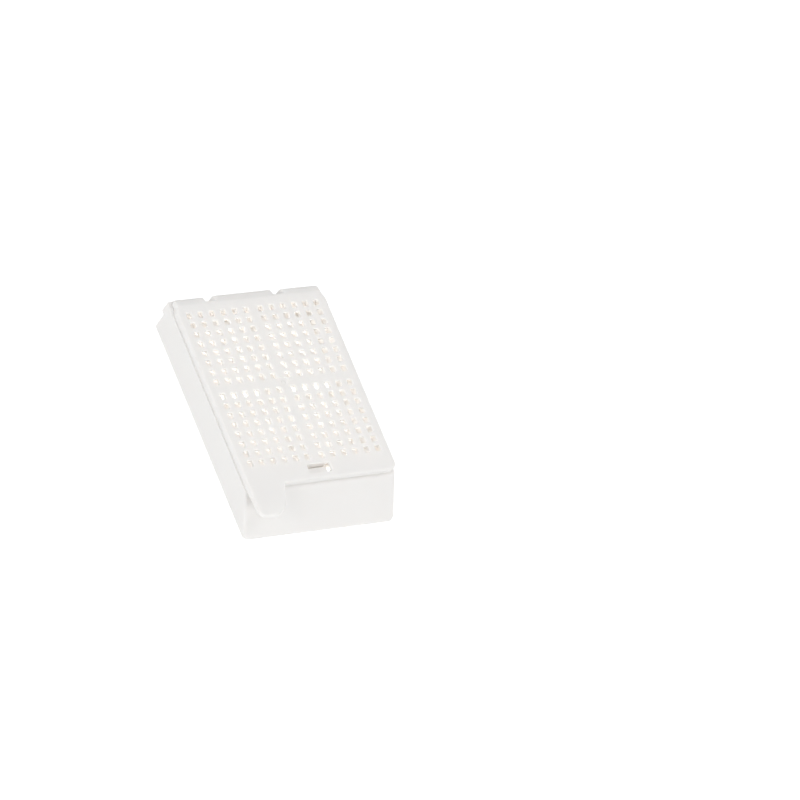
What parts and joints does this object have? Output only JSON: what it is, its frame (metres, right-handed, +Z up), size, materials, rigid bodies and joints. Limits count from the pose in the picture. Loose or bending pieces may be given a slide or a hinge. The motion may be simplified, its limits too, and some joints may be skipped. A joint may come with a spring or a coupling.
{
  "type": "tissue cassette",
  "caption": "White perforated tissue processing cassette: shallow tray with a sloped writing face and a hinged snap lid with a thumb tab.",
  "frame": {"origin": "middle of the object's footprint, on the plane that the foot rim stands on", "axes": "+X across the width, to the right seen from the writing face; +Y from the writing face to the hinge, along the length; +Z up, towards the lid"},
  "size_m": [0.0286, 0.041, 0.0066],
  "materials": {
    "acetal": "satin white acetal with a fine mould texture"
  },
  "bodies": {
    "base": {"base": "acetal", "hinge_film": "acetal"},
    "lid": {"lid": "acetal"}
  },
  "joints": [
    {"name": "lid_hinge", "type": "hinge", "parent": "base", "child": "lid", "pos_m": [0, 0.0204, 0.0033], "axis": [-1, 0, 0], "range_deg": [0, 180], "deforming": ["hinge_film"]}
  ]
}
